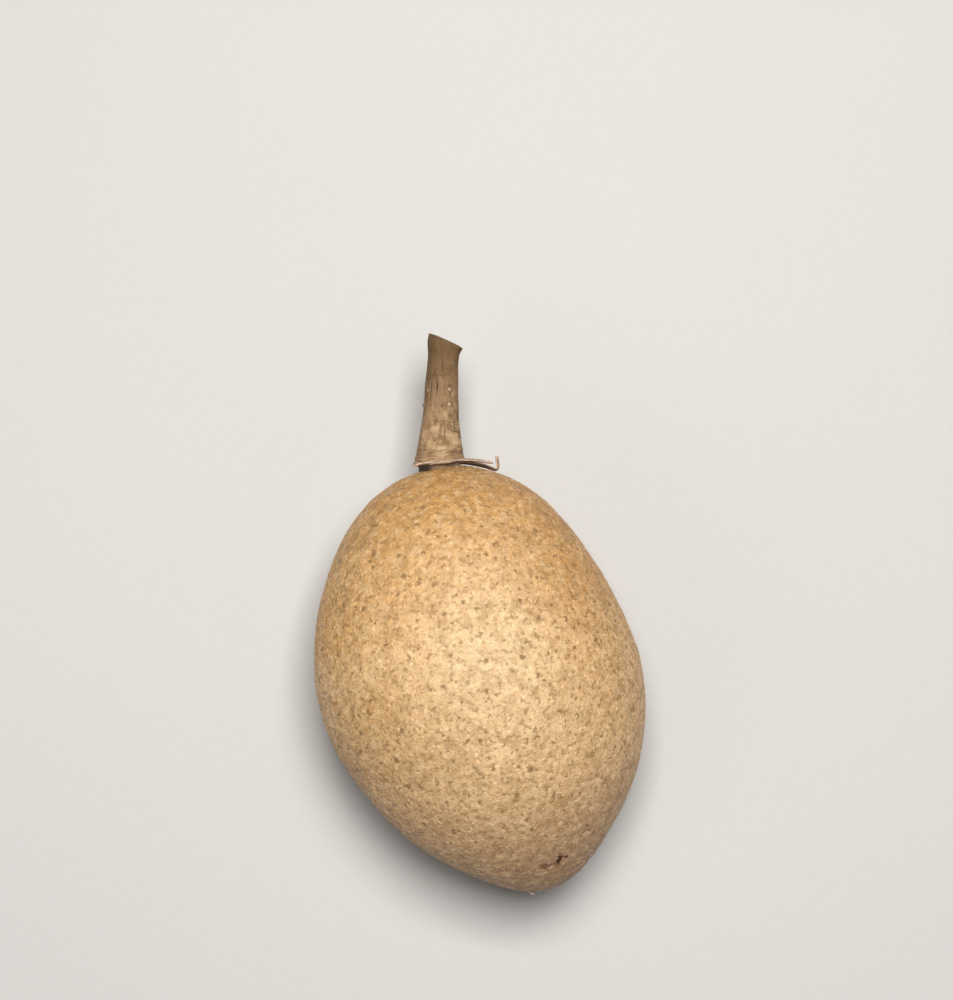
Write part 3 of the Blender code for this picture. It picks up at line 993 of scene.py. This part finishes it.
def bark_material():
    """Young bark: grey tan, with pale lenticels; dark in its fissures, partly its own colour and
    partly painted shade, and darker towards the cut, partly age and partly painted shade.
    """
    look = Look("stalk_bark")
    base = look.mix(look.patches(1.9 * MM, 4.0, 0.36, 0.64), BARK_BROWN, BARK_TAN)
    tinted = look.mix(look.patches(5 * MM, 2.0, 0.45, 0.60, 0.0, 0.7), base, BARK_WARM)
    # Darker towards the cut end: partly aged bark, partly painted shade
    aged_and_shaded_share = look.times(look.axis("Y", 45 * MM, 58 * MM), 0.85)
    aged_and_shaded = look.mix(aged_and_shaded_share, tinted, BARK_AGED_AND_SHADED)
    # Painted shade, with the bark's own dark colour, in its cracks and creases
    cracked_and_shaded = look.mix(look.attribute("crack_shade"), aged_and_shaded, CRACK_AND_SHADE_BROWN)
    pale = look.mix(look.times(look.attribute("pale"), 0.75), cracked_and_shaded, LENTICEL_CREAM)
    fine = look.patches(0.25 * MM, 4.0, 0.35, 0.72, 0.0, 0.40, roughness=0.7)
    grained = look.mix(fine, pale, BARK_FLECK)
    look.bump(0.08 * MM, 0.20 * MM, 5.0, 0.7)
    look.set(Specular_IOR_Level=0.3)
    return look.finish(grained, look.matt(0.70, 0.92, 0.9 * MM))


def wood_material():
    """The cut face: pale wood with growth rings and a darker pith."""
    look = Look("stalk_wood")
    ring = look.spread(look.attribute("ring"), -1.0, 1.0)
    wood = look.mix(ring, WOOD_TAN, WOOD_CREAM)
    fibre = look.patches(0.12 * MM, 4.0, 0.35, 0.7, 0.0, 0.4, roughness=0.7)
    grained = look.mix(fibre, wood, FIBRE_BROWN)
    pith = look.mix(look.attribute("pith"), grained, PITH_BROWN)
    look.bump(0.05 * MM, 0.10 * MM, 4.0, 0.7)
    return look.finish(pith, look.matt(0.65, 0.85, 0.4 * MM))


def oval_mark(mark, along, angle, radius):
    """One oval mark on the bark: 1 in its middle, 0 outside."""
    place, middle, half_height, half_width = mark
    shorter_way = (angle - middle + math.pi) % (2 * math.pi) - math.pi
    across = shorter_way * radius
    reach = np.sqrt(((along - place) / half_height) ** 2 + (across / half_width) ** 2)
    return 1 - smooth_step(reach, *MARK_EDGE)


def bark_marks(count, places, half_heights, half_widths, along, angle, radius, draw):
    """A seeded draw of oval marks on the bark: up to 1 in their middles, 0 outside."""
    depth = np.zeros(len(along))
    for _ in range(count):
        share = draw.uniform(0, 1)
        place = places[0] + (places[1] - places[0]) * share ** places[2]
        middle = draw.uniform(0, 2 * math.pi)
        mark = (place, middle, draw.uniform(*half_heights), draw.uniform(*half_widths))
        strength = 0.2 + 0.8 * draw.uniform(0, 1) ** 2
        depth = np.maximum(depth, strength * oval_mark(mark, along, angle, radius))
    return depth


def bark_relief(along, angle, radius):
    """Height of the bark over its smooth form, how deep its cracks are, which also sets painted
    shade in its creases, and how pale it is.
    """
    flat = np.stack([np.cos(angle) * radius, np.sin(angle) * radius, along], axis=1)
    drift = noise_at(flat, (1.6 * MM, 1.6 * MM, 2.2 * MM), 57)
    bent_along = along + 0.40 * MM * noise_at(flat, 1.5 * MM, 58)
    bent_angle = angle + (0.28 * MM * drift + 0.08 * MM * noise_at(flat, 0.5 * MM, 59)) / radius
    draw = np.random.default_rng(SEED + 5)
    slits, wrinkles, pale = (
        bark_marks(*marks, bent_along, bent_angle, radius, draw)
        for marks in (SLITS, WRINKLES, LENTICELS)
    )
    for mark in LONG_CRACKS:
        slits = np.maximum(slits, oval_mark(mark, bent_along, bent_angle, radius))
    for mark in PALE_LENTICELS:
        pale = np.maximum(pale, oval_mark(mark, along, angle, radius))
    lumps = noise_at(flat, (2.4 * MM, 2.4 * MM, 4.5 * MM), 51)
    plates = noise_at(flat, (0.8 * MM, 0.8 * MM, 3.2 * MM), 52)
    grain = noise_at(flat, (0.25 * MM, 0.25 * MM, 0.7 * MM), 56)
    near_foot = np.exp(-np.clip(along, 0, None) / FOOT_RING_REACH)
    rings = near_foot * np.sin(along / FOOT_RING_STEP + 2.2 * lumps + 1.1 * drift)
    relief = BARK_LUMPS * lumps + BARK_PLATES * plates + BARK_GRAIN * grain + FOOT_RINGS * rings
    relief = relief - SLIT_DEPTH * slits - WRINKLE_DEPTH * wrinkles + LENTICEL_HEIGHT * pale
    relief = relief + WART_HEIGHT * oval_mark(WART, along, angle, radius)
    # Darker in slits and wrinkles, partly the bark's own colour and partly painted shade, and
    # painted shade in the troughs of the rings at the foot
    crack_shade = np.maximum(slits, 0.6 * wrinkles) + 0.35 * np.clip(-rings - 0.1, 0, 1)
    return relief, np.clip(crack_shade, 0, 1) * (1 - pale), pale


def build_bark(material):
    """The stalk's bark, from inside the collar to the lip round the cut."""
    angle = full_turn(STALK_ROUND)
    line = stalk_line()
    foot, end, end_tilt = line[0][0], line[-1][0], line[-1][1]
    middle = np.repeat([point for point, _, _ in line], STALK_ROUND, axis=0)
    out = np.concatenate([ring_directions(leaning_axis(tilt)[1], angle) for _, tilt, _ in line])
    radius = np.concatenate([stalk_radius(along, angle) for _, _, along in line])
    along = np.repeat([along for _, _, along in line], STALK_ROUND)
    relief, crack_shade, pale = bark_relief(along, np.tile(angle, len(line)), radius)
    bark = middle + out * (radius + relief)[:, None]
    end_axis, _ = leaning_axis(end_tilt)
    edge, edge_out = bark[-STALK_ROUND:], out[-STALK_ROUND:]
    lip = [edge - edge_out * inward + end_axis * (LIP_HEIGHT - sink) for inward, sink in LIP_RINGS]
    points = np.concatenate([bark, *lip, [end - end_axis * LIP_FLOOR, foot]])
    rings = len(line) + len(lip)
    count = rings * STALK_ROUND
    faces = ring_faces(rings, STALK_ROUND).tolist()
    faces += fan_faces(count - STALK_ROUND, STALK_ROUND, count)
    faces += fan_faces(0, STALK_ROUND, count + 1, flip=True)
    extra = len(points) - len(crack_shade)
    # The lip round the cut and the closing points get a little painted shade too
    values = {
        "crack_shade": np.concatenate([crack_shade, np.full(extra, 0.35)]),
        "pale": np.concatenate([pale, np.zeros(extra)]),
    }
    make_piece("stalk_bark", points, faces, material, "stalk_bark", "stalk", values=values)


def build_cut(material):
    """The cut face: a thin plug of wood inside the bark's lip."""
    middle, tilt, _ = stalk_line()[-1]
    axis, across = leaning_axis(tilt)
    angle = full_turn(CUT_ROUND)
    out = ring_directions(across, angle)
    outer = stalk_radius(STALK_LENGTH, angle) - LIP_WIDTH
    rays = noise_at(np.stack([np.cos(angle), np.sin(angle), 0 * angle], axis=1), 0.045, 62)
    rings, ring_values, pith_values = [], [], []
    for ring in range(1, CUT_RINGS + 1):
        share = ring / CUT_RINGS
        places = middle + out * (outer * share)[:, None]
        wobble = noise_at(places, 1.1 * MM, 61)
        growth = np.sin(share * GROWTH_WAVES * math.pi + 1.2 * wobble)
        fibres = noise_at(places, 0.16 * MM, 63)
        pith = 1 - smooth_step(share, *PITH_EDGE)
        height = GROWTH_HEIGHT * growth + FIBRE_HEIGHT * fibres + RAY_HEIGHT * rays * share
        height -= PITH_DEPTH * pith
        rings.append(places + axis * height[:, None])
        ring_values.append(growth * 0.7 + 0.5 * rays)
        pith_values.append(np.full(CUT_ROUND, pith))
    ends = [middle - axis * PITH_DEPTH, middle - axis * CUT_BACK]
    count = CUT_RINGS * CUT_ROUND
    faces = ring_faces(CUT_RINGS, CUT_ROUND, flip=True).tolist()
    faces += fan_faces(0, CUT_ROUND, count)
    faces += fan_faces(count - CUT_ROUND, CUT_ROUND, count + 1, flip=True)
    values = {
        "ring": np.concatenate(ring_values + [[0.0, 0.0]]),
        "pith": np.concatenate(pith_values + [[1.0, 0.0]]),
    }
    points = np.concatenate(rings + [ends])
    make_piece("stalk_cut_face", points, faces, material, "stalk_bark", "stalk", values=values)


def floor_material():
    """Matt pale paper with the faintest unevenness, whiter where it stands up far behind."""
    look = Look("floor")
    paper = look.mix(look.patches(0.35, 2.0, 0.3, 0.7), PAPER_GREY, PAPER_PALE)
    colour = look.mix(look.axis("Z", 0.0, FLOOR_SWEEP), paper, WALL_WHITE)
    look.set(Specular_IOR_Level=0.2)
    return look.finish(colour, look.matt(0.68, 0.74, 0.02))


def add_floor():
    """A plain pale floor that sweeps up far behind the fruit on every side."""
    profile = [(0.15, 0.0), (0.4, 0.0), (FLOOR_FLAT, 0.0)]
    for step in range(1, FLOOR_STEPS + 1):
        angle = step / FLOOR_STEPS * math.pi / 2
        rise = FLOOR_SWEEP * (1 - math.cos(angle))
        profile.append((FLOOR_FLAT + FLOOR_SWEEP * math.sin(angle), rise))
    profile.append((FLOOR_FLAT + FLOOR_SWEEP, FLOOR_SWEEP + FLOOR_WALL))
    points = [
        (reach * math.cos(turn), reach * math.sin(turn), height)
        for reach, height in profile
        for turn in full_turn(FLOOR_ROUND)
    ]
    faces = [tuple(range(FLOOR_ROUND))]
    faces += ring_faces(len(profile), FLOOR_ROUND, flip=True).tolist()
    floor = add_mesh("floor", points, faces, floor_material())
    floor.location.z = -FLOOR_DROP


def picture_point(right, up, height):
    """A place in the picture's plane, from the fruit's middle, at a height over it."""
    turned_x = math.cos(PICTURE_ROLL) * right + math.sin(PICTURE_ROLL) * up
    turned_y = math.cos(PICTURE_ROLL) * up - math.sin(PICTURE_ROLL) * right
    return Vector(FRUIT_MIDDLE + (turned_x, turned_y, height))


def add_camera():
    """The camera straight above, rolled so that the fruit leans as in the photograph."""
    data = bpy.data.cameras.new("camera")
    data.sensor_width = SENSOR
    data.lens = CAMERA_LENS
    data.clip_start = 0.01
    camera = add_object("camera", data)
    camera.location = picture_point(PICTURE_RIGHT, PICTURE_UP, CAMERA_DISTANCE)
    camera.rotation_euler = (0.0, 0.0, -PICTURE_ROLL)
    bpy.context.scene.camera = camera


def add_light(name, right, up, height, size, power, colour):
    """A square soft light that points at the fruit."""
    data = bpy.data.lights.new(name, "AREA")
    data.size = size
    data.energy = power
    data.color = colour
    light = add_object(name, data)
    light.location = picture_point(right, up, height)
    towards = Vector(FRUIT_MIDDLE) - light.location
    light.rotation_euler = towards.to_track_quat("-Z", "Y").to_euler()


def add_lights():
    """The lights, an even warm room, and plain colours in the picture."""
    for row in LIGHTS:
        add_light(*row)
    world = bpy.data.worlds.new("room")
    world.use_nodes = True
    background = world.node_tree.nodes["Background"]
    background.inputs["Color"].default_value = (*WARM_WHITE, 1.0)
    background.inputs["Strength"].default_value = ROOM_LIGHT
    bpy.context.scene.world = world
    bpy.context.scene.view_settings.view_transform = "Standard"


def build_fruit():
    """The skin, its two layers of scurf and the style's stub."""
    build_skin(skin_material())
    build_style(style_material())
    scurf = scurf_material()
    for layer in SCURF_LAYERS:
        build_scurf(*layer, scurf)


def build_calyx():
    """The collar and its six sepals."""
    material = calyx_material()
    build_collar(material)
    for index, row in enumerate(SEPALS):
        build_sepal(f"sepal_{index + 1}", row, 70 + 5 * index, material)


def build_stalk():
    """The bark and the cut face."""
    build_bark(bark_material())
    build_cut(wood_material())


build_fruit()
build_calyx()
build_stalk()
add_floor()
add_camera()
add_lights()
